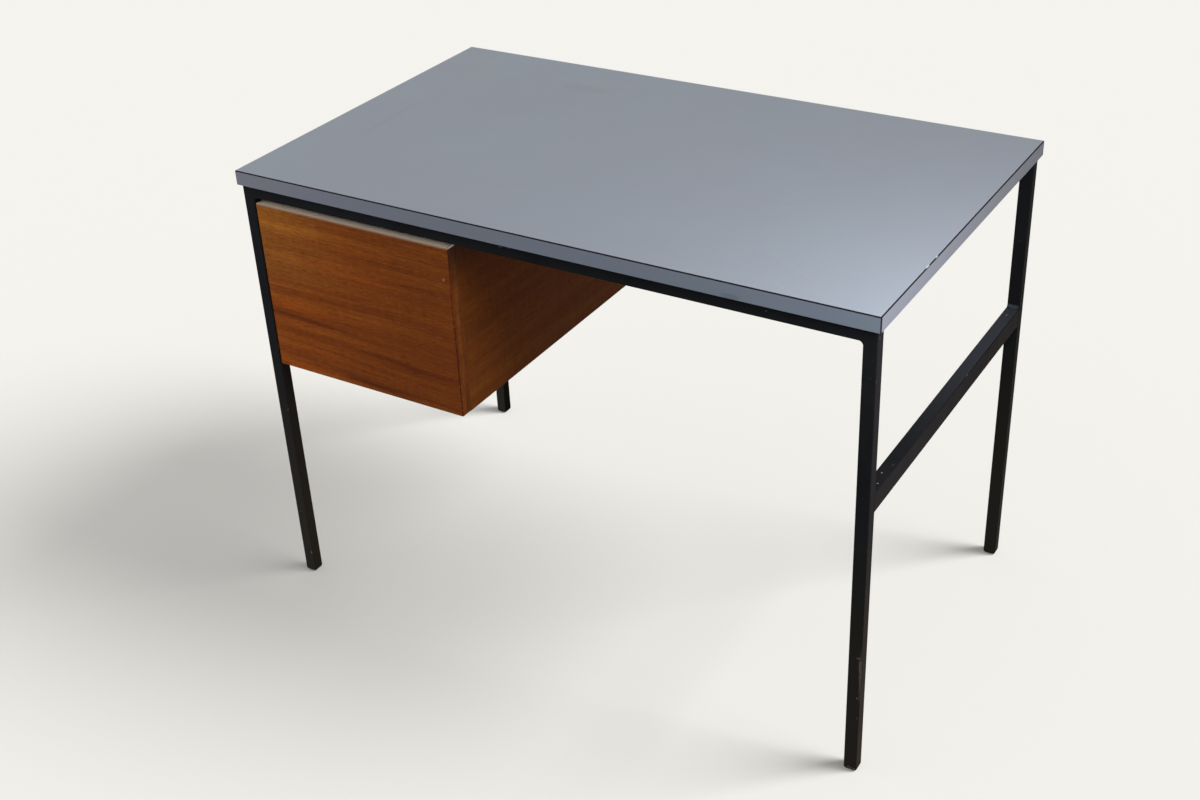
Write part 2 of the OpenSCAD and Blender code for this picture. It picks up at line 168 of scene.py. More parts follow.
def eased_board(node, axis, edges, corner, steps=4, lowered=0.0):
    """Board for a CAD node: a round-cornered oblong carried along one axis. Within edge of each
    end the oblong draws in by edge (1 - sin t) while it travels edge (1 - cos t), t from 0 to a
    quarter turn. Its top may be lowered."""
    low, high = corners(node)
    high = high - np.array((0, 0, lowered))
    first, last = edges
    t = np.linspace(0, np.pi / 2, steps)
    inset = np.concatenate([first * (1 - np.sin(t)), last * (1 - np.sin(t[::-1]))])
    level = np.concatenate([low[axis] + first * (1 - np.cos(t)),
                            high[axis] - last * (1 - np.cos(t[::-1]))])
    return stacked(low, high, axis, level, inset, np.maximum(corner - inset, corner / 3), steps)


def skin(name, shells):
    """One mesh from several grids of points. A grid runs along the piece in its rows and round it
    in its columns: neighbours make four-sided faces, and flat faces close the two ends. A shell
    whose walls enclose a negative volume is turned round, so that all faces point outwards."""
    points, faces, start = [], [], 0
    for rows in shells:
        index = start + np.arange(rows.shape[0] * rows.shape[1]).reshape(rows.shape[:2])
        beside = np.roll(index, -1, 1)
        walls = np.stack([index[:-1], beside[:-1], beside[1:], index[1:]], -1).reshape(-1, 4)
        flat = rows.reshape(-1, 3)
        centred = (flat - flat.mean(0))[walls - start]
        volume = (centred[:, 0] * (np.cross(centred[:, 1], centred[:, 2])
                                   + np.cross(centred[:, 2], centred[:, 3]))).sum()
        ends = [index[0][::-1], index[-1]]
        if volume < 0:
            walls, ends = walls[:, ::-1], [end[::-1] for end in ends]
        faces += walls.tolist() + [end.tolist() for end in ends]
        points.append(flat)
        start += len(flat)
    mesh = bpy.data.meshes.new(name)
    mesh.from_pydata(np.concatenate(points).tolist(), [], faces)
    return mesh


def add_piece(mesh, body, nodes, materials):
    """Puts a mesh in the scene as a piece that rides a body and stands for some CAD nodes."""
    piece = bpy.data.objects.new(mesh.name, mesh)
    bpy.context.scene.collection.objects.link(piece)
    for material in materials:
        mesh.materials.append(material)
    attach(piece, body)
    if nodes:
        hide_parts(*nodes)
    return piece


def make_piece(name, shells, body, nodes, materials, pick=None, level_faces=True):
    """Adds a new piece. Faces that look along an axis stay flat and the rest are smooth; pick
    gives each face's material from the face normals."""
    mesh = skin(name, shells)
    piece = add_piece(mesh, body, nodes, materials)
    normals = np.empty(len(mesh.polygons) * 3, np.float32)
    mesh.polygons.foreach_get("normal", normals)
    normals = normals.reshape(-1, 3)
    smooth = np.abs(normals).max(1) < LEVEL if level_faces else np.ones(len(normals), bool)
    mesh.polygons.foreach_set("use_smooth", smooth)
    if pick is not None:
        mesh.polygons.foreach_set("material_index", pick(normals).astype(np.int32))
    mesh.update()
    return piece


def eased_copies(finishes, width, body):
    """Copies of CAD nodes, each with its finish. Double points are merged, flat faces joined and
    sharp edges eased by a bevel of the given width, or half of it on the thin lippings."""
    for node, material in finishes.items():
        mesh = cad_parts[node].data.copy()
        mesh.name = node + "_board"
        mesh.materials.clear()
        work = bmesh.new()
        work.from_mesh(mesh)
        bmesh.ops.remove_doubles(work, verts=work.verts, dist=MERGE)
        bmesh.ops.dissolve_limit(work, angle_limit=0.01, verts=work.verts, edges=work.edges)
        work.to_mesh(mesh)
        work.free()
        piece = add_piece(mesh, body, [node], [material])
        bevel = piece.modifiers.new("Eased edges", "BEVEL")
        bevel.width = width / 2 if "lipping" in node else width
        bevel.segments = 2
        bevel.limit_method = "ANGLE"
        bevel.angle_limit = math.radians(50)


def dress(material, *nodes):
    """Gives CAD nodes a finish and leaves their shape alone."""
    for node in nodes:
        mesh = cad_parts[node].data
        mesh.materials.clear()
        mesh.materials.append(material)


# Shader nodes

class Wiring:
    """Adds nodes to one node tree and joins them. A value is a number, a colour or vector of
    three numbers, or a socket. Unless it says otherwise, a method returns the output socket of
    the last node that it adds."""

    def __init__(self, holder):
        """Starts with the emptied node tree of a material or world, or with a group's tree."""
        self.tree = holder
        if not isinstance(holder, bpy.types.NodeTree):
            holder.use_nodes = True
            holder.node_tree.nodes.clear()
            self.tree = holder.node_tree

    def node(self, kind, inputs=None, **settings):
        """Adds a node and returns it."""
        made = self.tree.nodes.new(kind)
        for key, value in settings.items():
            setattr(made, key, value)
        for key, value in (inputs or {}).items():
            socket = made.inputs[key]
            if isinstance(value, bpy.types.NodeSocket):
                self.tree.links.new(value, socket)
            else:
                socket.default_value = (*value, 1.0) if socket.type == "RGBA" else value
        return made

    def maths(self, operation, *values, clamp=False):
        return self.node("ShaderNodeMath", dict(enumerate(values)), operation=operation,
                         use_clamp=clamp).outputs[0]

    def chain(self, operation, first, *others):
        """Takes each other value into the first by the same operation."""
        for value in others:
            first = self.maths(operation, first, value)
        return first

    def plus(self, *values):
        return self.chain("ADD", *values)

    def minus(self, *values):
        return self.chain("SUBTRACT", *values)

    def times(self, *values):
        return self.chain("MULTIPLY", *values)

    def most(self, *values):
        return self.chain("MAXIMUM", *values)

    def least(self, *values):
        return self.chain("MINIMUM", *values)

    def line(self, value, slope, start, clamp=False):
        """A value times slope, plus start."""
        return self.maths("MULTIPLY_ADD", value, slope, start, clamp=clamp)

    def vector(self, operation, *values):
        made = self.node("ShaderNodeVectorMath", dict(enumerate(values)), operation=operation)
        return made.outputs["Value" if operation == "LENGTH" else "Vector"]

    def between(self, value, low, high, to_low=0.0, to_high=1.0):
        """Smooth step of a value from low to high."""
        return self.node("ShaderNodeMapRange", {
            "Value": value, "From Min": low, "From Max": high, "To Min": to_low,
            "To Max": to_high}, interpolation_type="SMOOTHSTEP").outputs["Result"]

    def place(self, vector, scale=(1, 1, 1), turn=ALONG, shift=(0, 0, 0)):
        return self.node("ShaderNodeMapping", {
            "Vector": vector, "Location": shift, "Rotation": turn,
            "Scale": scale}).outputs["Vector"]

    def noise(self, vector, scale, detail=2.0, roughness=0.5):
        return self.node("ShaderNodeTexNoise", {
            "Vector": vector, "Scale": scale, "Detail": detail,
            "Roughness": roughness}).outputs["Fac"]

    def swing(self, *noise):
        """Noise about nought."""
        return self.minus(self.noise(*noise), 0.5)

    def mix(self, share, first, second, kind="MIX"):
        return self.node("ShaderNodeMix", {0: share, 6: first, 7: second}, data_type="RGBA",
                         blend_type=kind).outputs[2]

    def tinted(self, colour, tint, share=1.0):
        """A colour multiplied by a tint, for a share."""
        return self.mix(share, colour, tint, "MULTIPLY")

    def scaled(self, colour, amount):
        """A colour made lighter or darker by a number."""
        return self.node("ShaderNodeVectorMath", {"Vector": colour, "Scale": amount},
                         operation="SCALE").outputs["Vector"]

    def varied(self, colour, *parts, start=1.0):
        """A colour scaled by start plus the sum of each part's value times its share."""
        for value, share in parts:
            start = self.line(value, share, start)
        return self.scaled(colour, start)

    def parts(self, vector):
        """The three numbers of a vector, as sockets."""
        return self.node("ShaderNodeSeparateXYZ", {"Vector": vector}).outputs[:3]

    def use(self, group, **inputs):
        """Places a node group and returns its outputs."""
        return self.node("ShaderNodeGroup", inputs,
                         node_tree=bpy.data.node_groups[group]).outputs


class Finish(Wiring):
    """The wiring of a new material. at is the place on the object as a vector."""

    def __init__(self, name):
        self.material = bpy.data.materials.new(name)
        super().__init__(self.material)
        self.at = self.node("ShaderNodeTexCoord").outputs["Object"]

    def normal(self):
        return self.node("ShaderNodeNewGeometry").outputs["Normal"]

    def mottle(self, clouds, specks):
        """Slow clouds and fine specks of the given fineness, as two sockets."""
        made = self.use("Mottle", Vector=self.at, Clouds=clouds, Specks=specks)
        return made["Cloud"], made["Speck"]

    def mark(self, centre, reach, ragged):
        """A ragged spot, with its centre and reach in millimetres."""
        centre, reach = ([part / 1000 for part in given] for given in (centre, reach))
        return self.use("Mark", Vector=self.at, Centre=centre, Reach=reach,
                        Ragged=ragged)["Mask"]

    def done(self, colour, roughness, height, depth, gloss=0.5, metallic=0.0):
        """Adds the surface and returns the material: colour, roughness and a bump of the given
        depth come from the pattern, and the rest is the same all over."""
        bump = self.node("ShaderNodeBump", {"Height": height, "Distance": depth,
                                            "Strength": 1.0})
        surface = self.node("ShaderNodeBsdfPrincipled", {
            "Base Color": colour, "Roughness": roughness, "Normal": bump.outputs["Normal"],
            "Specular IOR Level": gloss, "Metallic": metallic})
        self.node("ShaderNodeOutputMaterial", {"Surface": surface.outputs[0]})
        return self.material


def build_wood(w, given):
    """Grain along X. The grain lines sway a little, broad streaks carry fine streaks and fibres,
    short pores darken it, and a ripple runs across the grain."""
    sway = w.times(w.swing(w.place(given["Vector"], (2.2, 7, 7)), 1.0), 0.016)
    offset = w.node("ShaderNodeCombineXYZ", {"X": 0.0, "Y": sway, "Z": sway}).outputs[0]
    bent = w.vector("ADD", given["Vector"], offset)

    def streaks(slip, fineness, detail=2.0):
        """Noise drawn out along the grain, finer than the broad streaks by a factor."""
        return w.noise(w.place(bent, (slip, 1, 1)), w.times(given["Streaks"], fineness), detail)

    broad, fine, fibre = streaks(0.035, 1.0), streaks(0.018, 6.0), streaks(0.06, 22.0)
    pore = w.between(streaks(0.08, 16.0, 1.0), 0.58, 0.70)
    tone = w.plus(w.times(w.minus(broad, 0.5), 1.3), w.times(w.minus(fine, 0.5), 0.8),
                  w.times(w.minus(fibre, 0.5), 1.6))
    tone = w.line(tone, given["Contrast"], 0.5)
    colour = w.mix(w.maths("MULTIPLY", tone, 2.0, clamp=True), given["Dark"], given["Middle"])
    colour = w.mix(w.line(tone, 2.0, -1.0, clamp=True), colour, given["Light"])
    ripple = w.times(w.swing(w.place(bent, (1, 0.1, 0.1)), 140.0), given["Ripple"])
    pores = w.times(pore, given["Pores"])
    return {"Color": w.scaled(colour, w.times(w.line(pores, -0.5, 1.0),
                                              w.line(ripple, 1.2, 1.0))),
            "Roughness": w.line(pore, 0.15, w.line(tone, -0.16, 0.5)),
            "Height": w.minus(w.times(fibre, 0.5), pores)}


def build_mark(w, given):
    """A ragged spot: 1 at its centre, 0 past its reach along each axis."""
    away = w.vector("DIVIDE", w.vector("SUBTRACT", given["Vector"], given["Centre"]),
                    given["Reach"])
    torn = w.times(w.swing(given["Vector"], 900.0), given["Ragged"])
    return {"Mask": w.between(w.plus(w.vector("LENGTH", away), torn), 1.0, 0.6)}


def build_rub(w, given):
    """Wear along the edges of a box. On a face the least distance to the box's sides is nought
    and the second least is the distance to the nearest edge, which noise makes ragged."""
    at = given["Vector"]
    sides = w.parts(w.vector("ABSOLUTE", w.vector("MINIMUM", w.vector(
        "SUBTRACT", at, given["Low"]), w.vector("SUBTRACT", given["High"], at))))
    second = w.minus(w.plus(*sides), w.most(*sides), w.least(*sides))
    ragged = w.times(w.plus(w.noise(at, 45.0, 4.0, 0.7), w.noise(at, 420.0)), given["Ragged"])
    return {"Mask": w.between(w.plus(w.maths("DIVIDE", second, given["Reach"]), ragged),
                              1.0, 0.75)}


def build_corner(w, given):
    """Wear on round corners, where the surface looks along no axis, broken up by noise."""
    corner = w.between(w.most(*w.parts(w.vector("ABSOLUTE", given["Normal"]))), 0.99, 0.86)
    patch = w.between(w.noise(given["Vector"], 26.0, 5.0, 0.75), given["Bare"],
                      w.plus(given["Bare"], 0.05))
    return {"Mask": w.times(corner, patch)}


def build_scratches(w, given):
    """Fine straight scratches in two directions, broken into short runs."""
    masks = []
    for turn, shift in ((0.5, 0.0), (-0.9, 3.1)):
        laid = w.place(given["Vector"], turn=(0, 0, turn), shift=(shift, 0, 0))
        line = w.noise(w.place(laid, (3, 700, 700)), 1.0, 1.0)
        run = w.noise(w.place(laid, (9, 9, 9), shift=(shift, 2, 1)), 1.0)
        masks.append(w.times(w.between(line, 0.69, 0.74), w.between(run, 0.5, 0.6)))
    return {"Mask": w.times(w.most(*masks), given["Amount"])}


def build_mottle(w, given):
    """Slow clouds and fine specks, each about nought."""
    return {"Cloud": w.swing(given["Vector"], given["Clouds"], 4.0, 0.55),
            "Speck": w.swing(given["Vector"], given["Specks"])}


# Name, inputs, outputs and builder of each group. V, C and F stand for vector, colour and float.
GROUPS = (
    ("Wood grain", "Vector:V Light:C Middle:C Dark:C Streaks:F Contrast:F Pores:F Ripple:F",
     "Color:C Roughness:F Height:F", build_wood),
    ("Mark", "Vector:V Centre:V Reach:V Ragged:F", "Mask:F", build_mark),
    ("Edge rub", "Vector:V Low:V High:V Reach:F Ragged:F", "Mask:F", build_rub),
    ("Corner wear", "Vector:V Normal:V Bare:F", "Mask:F", build_corner),
    ("Scratches", "Vector:V Amount:F", "Mask:F", build_scratches),
    ("Mottle", "Vector:V Clouds:F Specks:F", "Cloud:F Speck:F", build_mottle),
)
KINDS = {"F": "NodeSocketFloat", "V": "NodeSocketVector", "C": "NodeSocketColor"}


def make_groups():
    """Makes the shader node groups. A builder gets the wiring and the input sockets, and returns
    the outputs by name."""
    for name, inputs, outputs, build in GROUPS:
        tree = bpy.data.node_groups.new(name, "ShaderNodeTree")
        for side, sockets in (("INPUT", inputs), ("OUTPUT", outputs)):
            for socket in sockets.split():
                label, kind = socket.split(":")
                tree.interface.new_socket(name=label, in_out=side, socket_type=KINDS[kind])
        start, end = tree.nodes.new("NodeGroupInput"), tree.nodes.new("NodeGroupOutput")
        for label, socket in build(Wiring(tree), start.outputs).items():
            tree.links.new(socket, end.inputs[label])


# Finishes

CHIPPED = shade(172, 180, 188)  # fresh break in the laminate

# Chips in the edge of the top sheet: centre and reach in millimetres
CHIPS = [
    ((499, -151, 719.9), (1.1, 6.8, 0.9)),
    ((499, -120.5, 719.9), (1, 3.8, 0.9)),
]

# Smudges on the laminate: centre and reach in millimetres, and strength
SMUDGES = [
    ((-210, 203, 720), (55, 16, 10), 0.10),
    ((-420, -30, 720), (6, 100, 10), 0.07),
]
STRIP_SMUDGES = [((303, -297.5, 701.5), (16, 10, 5), 0.30)]


def laminate(name, colour, gloss, smudges=(), chips=(), extra=None):
    """Satin laminate: faint clouds and specks, hand marks, a few scratches, grey smudges and
    pale chips."""
    w = Finish(name)
    cloud, speck = w.mottle(6.0, 1400.0)
    tint = w.mix(w.between(cloud, -0.25, 0.25), colour, toned(colour, 0.965, 1.01, 0.99))
    scratch = w.use("Scratches", Vector=w.at, Amount=0.35)["Mask"]
    base = w.mix(scratch, w.varied(tint, (cloud, 0.06), (speck, 0.10)), toned(colour, 1.5))
    for centre, reach, strength in smudges:
        base = w.mix(w.times(w.mark(centre, reach, 0.9), strength), base, toned(colour, 0.45))
    for centre, reach in chips:
        base = w.mix(w.mark(centre, reach, 1.0), base, CHIPPED)
    if extra is not None:
        base = extra(w, base)
    hand_marks = w.noise(w.at, 14.0, 5.0, 0.65)
    return w.done(base, w.line(scratch, 0.2, w.line(hand_marks, 0.10, 0.36)),
                  w.line(scratch, -0.6, w.noise(w.at, 2600.0, 1.0)), depth=0.00003,
                  gloss=gloss)


def strip_tone_and_painted_light(w, base):
    """The edge strips' tone, with painted light and shade: the front one is painted lighter and a
    little purple at the left and is a little blue at the right; the side ones are painted lighter
    at the front and darker at the back. Dirt marks the joints at the corners."""
    x, y = w.parts(w.at)[:2]
    facing = w.parts(w.vector("ABSOLUTE", w.normal()))
    ahead, aside = (w.between(facing[axis], 0.6, 0.9) for axis in (1, 0))
    # Painted light: the front strip is lighter towards its left end
    tint = w.mix(w.between(x, -0.50, -0.22), (1.13, 1.09, 1.05), (0.99, 1.0, 1.0))
    tint = w.mix(w.between(x, -0.22, 0.45), tint, (0.91, 1.0, 1.0))
    base = w.tinted(base, tint, ahead)
    # Painted light and shade: the side strips are lighter at the front, darker at the back
    tint = w.mix(w.between(y, 0.06, 0.28), (1.16, 1.13, 1.11), (0.88, 0.85, 0.91))
    base = w.tinted(base, tint, aside)
    far_x, far_y = (w.maths("ABSOLUTE", value) for value in (x, y))
    # Dirt on the last millimetre of the front strip, and round the joint on the sides
    joint = w.most(w.times(ahead, w.between(x, 0.4988, 0.4992)),
                   w.times(aside, w.between(far_y, 0.2940, 0.2946)))
    return w.mix(w.times(joint, w.between(far_x, 0.4985, 0.4986), 0.92), base,
                 shade(30, 20, 34))


def sheet_core(colour):
    """Dark edge of the laminate, rubbed paler and chipped in places."""
    w = Finish("Laminate core")
    cloud, speck = w.mottle(60.0, 1600.0)
    rubbed = w.between(w.noise(w.at, 95.0, 4.0, 0.7), 0.72, 0.76)
    base = w.mix(w.times(rubbed, 0.5), w.varied(colour, (cloud, 0.9), (speck, 0.7)),
                 shade(176, 168, 160))
    for centre, reach in CHIPS:
        base = w.mix(w.mark(centre, reach, 1.2), base, CHIPPED)
    return w.done(base, w.line(cloud, 0.3, 0.55), speck, depth=0.00008, gloss=0.04)


def chipboard():
    """Chipboard: flat flakes in several browns, with fine dust between them."""
    w = Finish("Chipboard")
    flakes = w.node("ShaderNodeTexVoronoi", {"Vector": w.place(w.at, (1, 1, 3)), "Scale": 420.0})
    tone = w.parts(flakes.outputs["Color"])[0]
    base = w.mix(tone, shade(150, 112, 70), shade(206, 172, 124))
    dust = w.noise(w.at, 1500.0)
    base = w.mix(w.between(dust, 0.6, 0.7), base, shade(112, 82, 52))
    return w.done(base, w.line(dust, 0.1, 0.75), tone, depth=0.0002)


def backing(colour):
    """Dull balancing sheet with sanding lines along X and a few clouds."""
    w = Finish("Backing sheet")
    cloud = w.mottle(9.0, 900.0)[0]
    lines = w.noise(w.place(w.at, (4, 900, 1)), 1.0)
    base = w.varied(colour, (cloud, 0.5), (w.minus(lines, 0.5), 0.25), start=0.95)
    return w.done(base, w.line(lines, 0.15, 0.55), lines, depth=0.00004)


def hardboard(colour):
    """Hardboard: matted fibres and a few clouds."""
    w = Finish("Hardboard")
    cloud = w.mottle(16.0, 1100.0)[0]
    fibres = w.noise(w.place(w.at, (420, 160, 420)), 1.0, 3.0)
    base = w.varied(colour, (cloud, 0.5), (w.minus(fibres, 0.5), 0.6))
    return w.done(base, w.line(fibres, 0.2, 0.5), fibres, depth=0.00005)


def steel(colour):
    """Zinc-plated steel, slightly clouded."""
    w = Finish("Zinc-plated steel")
    cloud, speck = w.mottle(220.0, 3000.0)
    return w.done(w.varied(colour, (cloud, 0.5)), w.line(cloud, 0.3, 0.36), speck,
                  depth=0.00002, metallic=1.0)


def plastic(colour):
    """Moulded plastic, scuffed grey where it stands on the floor."""
    w = Finish("Glide plastic")
    cloud, speck = w.mottle(90.0, 1800.0)
    scuff = w.between(w.line(w.parts(w.at)[2], 260.0, cloud), 0.7, 0.1)
    base = w.mix(w.times(scuff, 0.8), w.varied(colour, (cloud, 0.6)), shade(92, 88, 82))
    return w.done(base, w.line(speck, 0.3, 0.55), speck, depth=0.00006, gloss=0.08)


# Chips and rubbed places in the paint, and painted highlights where the weld bead and the
# front-right leg's side catch the light: centre and reach in millimetres, colour and how ragged
BARE, DUST, PALE, WELD_GLINT = (shade(112, 97, 90), shade(84, 88, 94), shade(128, 128, 126),
                          shade(64, 70, 78))
PAINT_MARKS = [
    ((494.2, -292, 172), (1.1, 1.4, 34), BARE, 4.5),
    ((493, -292.5, 190), (1.2, 1, 14), BARE, 4.0),
    ((491.2, -292.5, 202), (2.8, 1, 1.2), BARE, 2.5),
    ((491.2, -292.5, 133.5), (1.3, 1, 1.6), BARE, 2.0),
    ((492.5, -292.5, 98), (0.9, 1, 1), BARE, 2.0),
    ((483.4, -292.5, 5.8), (1.8, 1, 0.9), PALE, 1.8),
    ((487.2, -292.5, 5), (1.4, 1, 0.8), PALE, 1.5),
    ((492.2, -292.3, 5.6), (1.5, 1, 1.1), PALE, 1.5),
    ((484.6, -229.1, 459), (1.2, 1.6, 1), PALE, 1.1),
    ((489.5, -253.9, 459), (1.2, 1.6, 1), PALE, 1.1),
    ((490.5, -206, 459), (1, 1.4, 1), DUST, 1.1),
    ((484.9, 246.1, 459), (1.2, 2.6, 1), PALE, 1.1),
    ((494.8, 52.2, 458.6), (1, 5, 1), DUST, 1.5),
    ((-40.4, -292.5, 693.2), (3.6, 1, 0.6), DUST, 1.5),
    ((-27.5, -292.5, 694.3), (3.4, 1, 0.6), DUST, 1.5),
    ((349.8, -292.5, 690.3), (1.2, 1, 0.9), DUST, 1.1),
    ((-477.7, -292.3, 317.5), (1, 1, 1), PALE, 1.1),
    ((-487.5, -292.5, 120), (0.9, 1, 0.9), PALE, 1.1),
    ((-478.2, -292.3, 39.2), (0.9, 1, 3.2), PALE, 2.5),
    # Painted highlights: cool glints on the front-right leg's side and on the weld bead at the rear
    ((495, -286, 686), (1, 1.6, 1.6), WELD_GLINT, 1.1),
    ((495, -290.5, 628.7), (1, 1.2, 1.6), WELD_GLINT, 1.1),
    ((485.5, 271, 461.2), (10.5, 4, 3.8), WELD_GLINT, 1.1),
]


def paint(colour):
    """Satin black paint on steel: orange peel, brown rub-through on the corners, a painted cool
    sky reflection on the upper faces, a few chips and a few painted glints. The legs are browner
    lower down; painted light makes the paint lighter towards the left, and painted light and
    shade lie on the side faces, darkest at the back."""
    w = Finish("Black paint")
    x, y, z = w.parts(w.at)
    normal = w.normal()
    facing = w.parts(normal)
    cloud, speck = w.mottle(18.0, 700.0)
    base = w.varied(colour, (cloud, 0.8), (speck, 0.25))
    low_leg = w.times(w.between(z, 0.50, 0.03), 0.85)
    base = w.mix(low_leg, base, shade(43, 41, 37))
    # Painted light: the paint is up to 1.45 times lighter towards the left of the desk
    base = w.scaled(base, w.between(x, 0.3, -0.45, 1.03, 1.45))
    # Painted reflection: the upper faces take a cool sheen of the sky, faint at the front
    sky_sheen = w.times(w.between(facing[2], 0.6, 0.95), w.between(y, -0.20, 0.20, 0.05, 0.95))
    base = w.mix(sky_sheen, base, shade(61, 64, 71))
    # Painted light and shade on the side faces: lighter low down and at the front, a little darker
    # at the left, much darker at the back
    side = w.between(facing[0], 0.6, 0.95)
    tint = w.mix(w.between(z, 0.62, 0.10), (1.04, 1.06, 1.32), (1.41, 1.30, 1.33))
    tint = w.mix(w.between(x, -0.2, -0.4), tint, (0.90, 0.95, 0.95))
    tint = w.tinted(tint, w.mix(w.between(y, -0.28, 0.24), (1.38, 1.12, 0.97),
                                (0.48, 0.38, 0.27)))
    base = w.tinted(base, tint, side)
    # Painted shade: the side faces of the rear legs are darker still
    rear_leg_shade = w.times(side, w.between(y, 0.2745, 0.2755))
    base = w.tinted(base, (0.5, 0.45, 0.45), rear_leg_shade)
    worn = w.use("Corner wear", Vector=w.at, Normal=normal, Bare=0.60)["Mask"]
    base = w.mix(w.times(worn, 0.7), base, shade(74, 58, 46))
    spot = w.times(w.between(w.noise(w.at, 170.0), 0.745, 0.765),
                   w.between(w.noise(w.at, 9.0), 0.5, 0.6))
    base = w.mix(w.times(spot, 0.6), base, shade(120, 112, 102))
    # Masks of the chips, rubbed places and painted glints
    chips = []
    for centre, reach, tone, ragged in PAINT_MARKS:
        chips.append(w.mark(centre, reach, ragged))
        base = w.mix(chips[-1], base, tone)
    rough = w.line(w.most(worn, spot), 0.2, w.line(cloud, 0.25, 0.42))
    height = w.minus(w.line(worn, -0.8, speck), w.most(*chips))
    return w.done(base, rough, height, depth=0.00012, gloss=0.006)


def wood(name, tones, turn, streaks, contrast, pores, ripple, gloss=0.5, extra=None, rub=None,
         shift=(0, 0, 0)):
    """Wood in a light, a middle and a dark tone, with its grain turned from X by turn. extra may
    change the colour, and rub is the low and high corner, reach and colour of wear along the
    edges."""
    w = Finish(name)
    light, middle, dark = tones
    grain = w.use("Wood grain", Vector=w.place(w.at, turn=turn, shift=shift), Light=light,
                  Middle=middle, Dark=dark, Streaks=streaks, Contrast=contrast, Pores=pores,
                  Ripple=ripple)
    base = grain["Color"]
    if extra is not None:
        base = extra(w, base)
    if rub is not None:
        low, high, reach, tone = rub
        mask = w.use("Edge rub", Vector=w.at, Low=tuple(low), High=tuple(high), Reach=reach,
                     Ragged=0.8)["Mask"]
        base = w.mix(w.times(mask, 0.6), base, tone)
    return w.done(base, grain["Roughness"], grain["Height"], depth=0.00006, gloss=gloss)


def beech(name, colour, turn, shift=(0, 0, 0)):
    """Pale wood with short darker flecks."""
    tones = toned(colour, 1.15), colour, toned(colour, 0.80, 0.72, 0.62)
    return wood(name, tones, turn, streaks=70.0, contrast=0.35, pores=0.35, ripple=0.12,
                gloss=0.3, shift=shift)


def plywood(colour):
    """Plywood: upright grain on its faces, and layers of light and dark across its edges."""
    dark = toned(colour, 0.7, 0.6, 0.5)

    def layers(w, base):
        low, high = corners("case_back")
        depth = w.times(w.minus(w.parts(w.at)[1], low[1]), 1.5 / (high[1] - low[1]))
        stripe = w.between(w.maths("FRACT", depth), 0.42, 0.5)
        edge = w.between(w.parts(w.vector("ABSOLUTE", w.normal()))[1], 0.6, 0.4)
        return w.mix(w.times(stripe, edge, 0.7), base, dark)

    return wood("Back plywood", (toned(colour, 1.15), colour, dark), UPRIGHT, streaks=26.0,
                contrast=0.5, pores=0.3, ripple=0.1, gloss=0.25, extra=layers)


# Bands of the veneer: start and end from the left edge, depth under the top edge, drop along
# the band and half width, all in millimetres, tint and strength
DARK, BRIGHT = (0.55, 0.46, 0.46), (1.35, 1.32, 1.15)
FIGURE = [
    (70, 340, 13, 5, 6, DARK, 0.35),
    (130, 285, 29, 14, 5, DARK, 0.12),
    (30, 270, 40, 12, 22, BRIGHT, 0.3),
    (30, 250, 78, 6, 20, BRIGHT, 0.85),
    (-20, 85, 26, 6, 15, BRIGHT, 0.55),
    (30, 130, 55, 4, 3, DARK, 0.3),
    (0, 75, 75, 2, 5, BRIGHT, 0.4),
    (0, 100, 131, 3, 4, DARK, 0.5),
    (0, 60, 160, 2, 8, BRIGHT, 0.6),
    (20, 95, 158, 4, 12, BRIGHT, 0.8),
    (-20, 200, 174, 14, 6, DARK, 0.75),
    (-20, 345, 196, 18, 8, DARK, 0.5),
    (60, 330, 204, 14, 3, BRIGHT, 0.25),
    (-20, 210, 216, 14, 4, DARK, 0.5),
    (0, 230, 226, 15, 3, BRIGHT, 0.3),
    (60, 330, 228, 14, 7, BRIGHT, 0.35),
    (-20, 345, 241, 22, 4.2, DARK, 0.45),
    (0, 120, 259, 6, 9, BRIGHT, 0.9),
    (130, 250, 256, 8, 8, DARK, 0.9),
]

# A knock on the face of the drawer front: centre and reach in millimetres, and colour
KNOCK = ((-141.6, -291.8, 620.8), (2.6, 1, 3), shade(150, 100, 70))


def veneer_figure(w, base):
    """Bands of the drawer front's own veneer. Each is a ragged streak along X that starts at a
    height, slopes a little, and fades at both ends. A painted cool sheen lies on the upper left,
    and painted light and shade make the left of the front lighter and more orange, the right
    darker and redder."""
    low, high = corners("drawer_front_veneer")
    left, foot = low[0], low[2]
    x, z = w.parts(w.at)[::2]
    z = w.line(w.swing(w.place(w.at, (7, 7, 22)), 1.0), 0.014, z)
    for *band, tone, strength in FIGURE:
        start, end, top, drop, half = (part / 1000 for part in band)
        line = w.line(w.minus(x, left + start), -drop / (end - start), high[2] - top)
        off = w.maths("DIVIDE", w.maths("ABSOLUTE", w.minus(z, line)), half)
        fade = w.times(w.between(x, left + start - 0.03, left + start + 0.03),
                       w.between(x, left + end + 0.06, left + end - 0.06))
        base = w.tinted(base, tone, w.times(w.between(off, 1.0, 0.0), fade, strength))
    # Painted highlight: a cool sheen on the upper left of the front
    painted_sheen = w.times(w.between(x, left + 0.20, left + 0.01),
                   w.between(z, foot + 0.11, foot + 0.19))
    base = w.tinted(base, (1.06, 1.42, 1.75), painted_sheen)
    dim = w.times(w.between(z, 0.580, 0.555), w.between(z, 0.435, 0.455))
    base = w.tinted(base, (0.95, 0.91, 0.88), dim)
    # Painted light and shade: lighter and more orange to the left, darker to the right
    return w.mix(w.between(x, left - 0.05, high[0] - 0.04),
                 w.tinted(base, (1.13, 1.07, 1.07)), w.tinted(base, (0.76, 0.72, 0.88)))


# The stage

def seen(w):
    """1 for a ray that comes from the camera, also by a mirror or through glass, and 0 for the
    light that falls on the desk."""
    path = w.node("ShaderNodeLightPath").outputs
    return w.most(*(path[f"Is {ray} Ray"] for ray in ("Camera", "Glossy", "Transmission")))


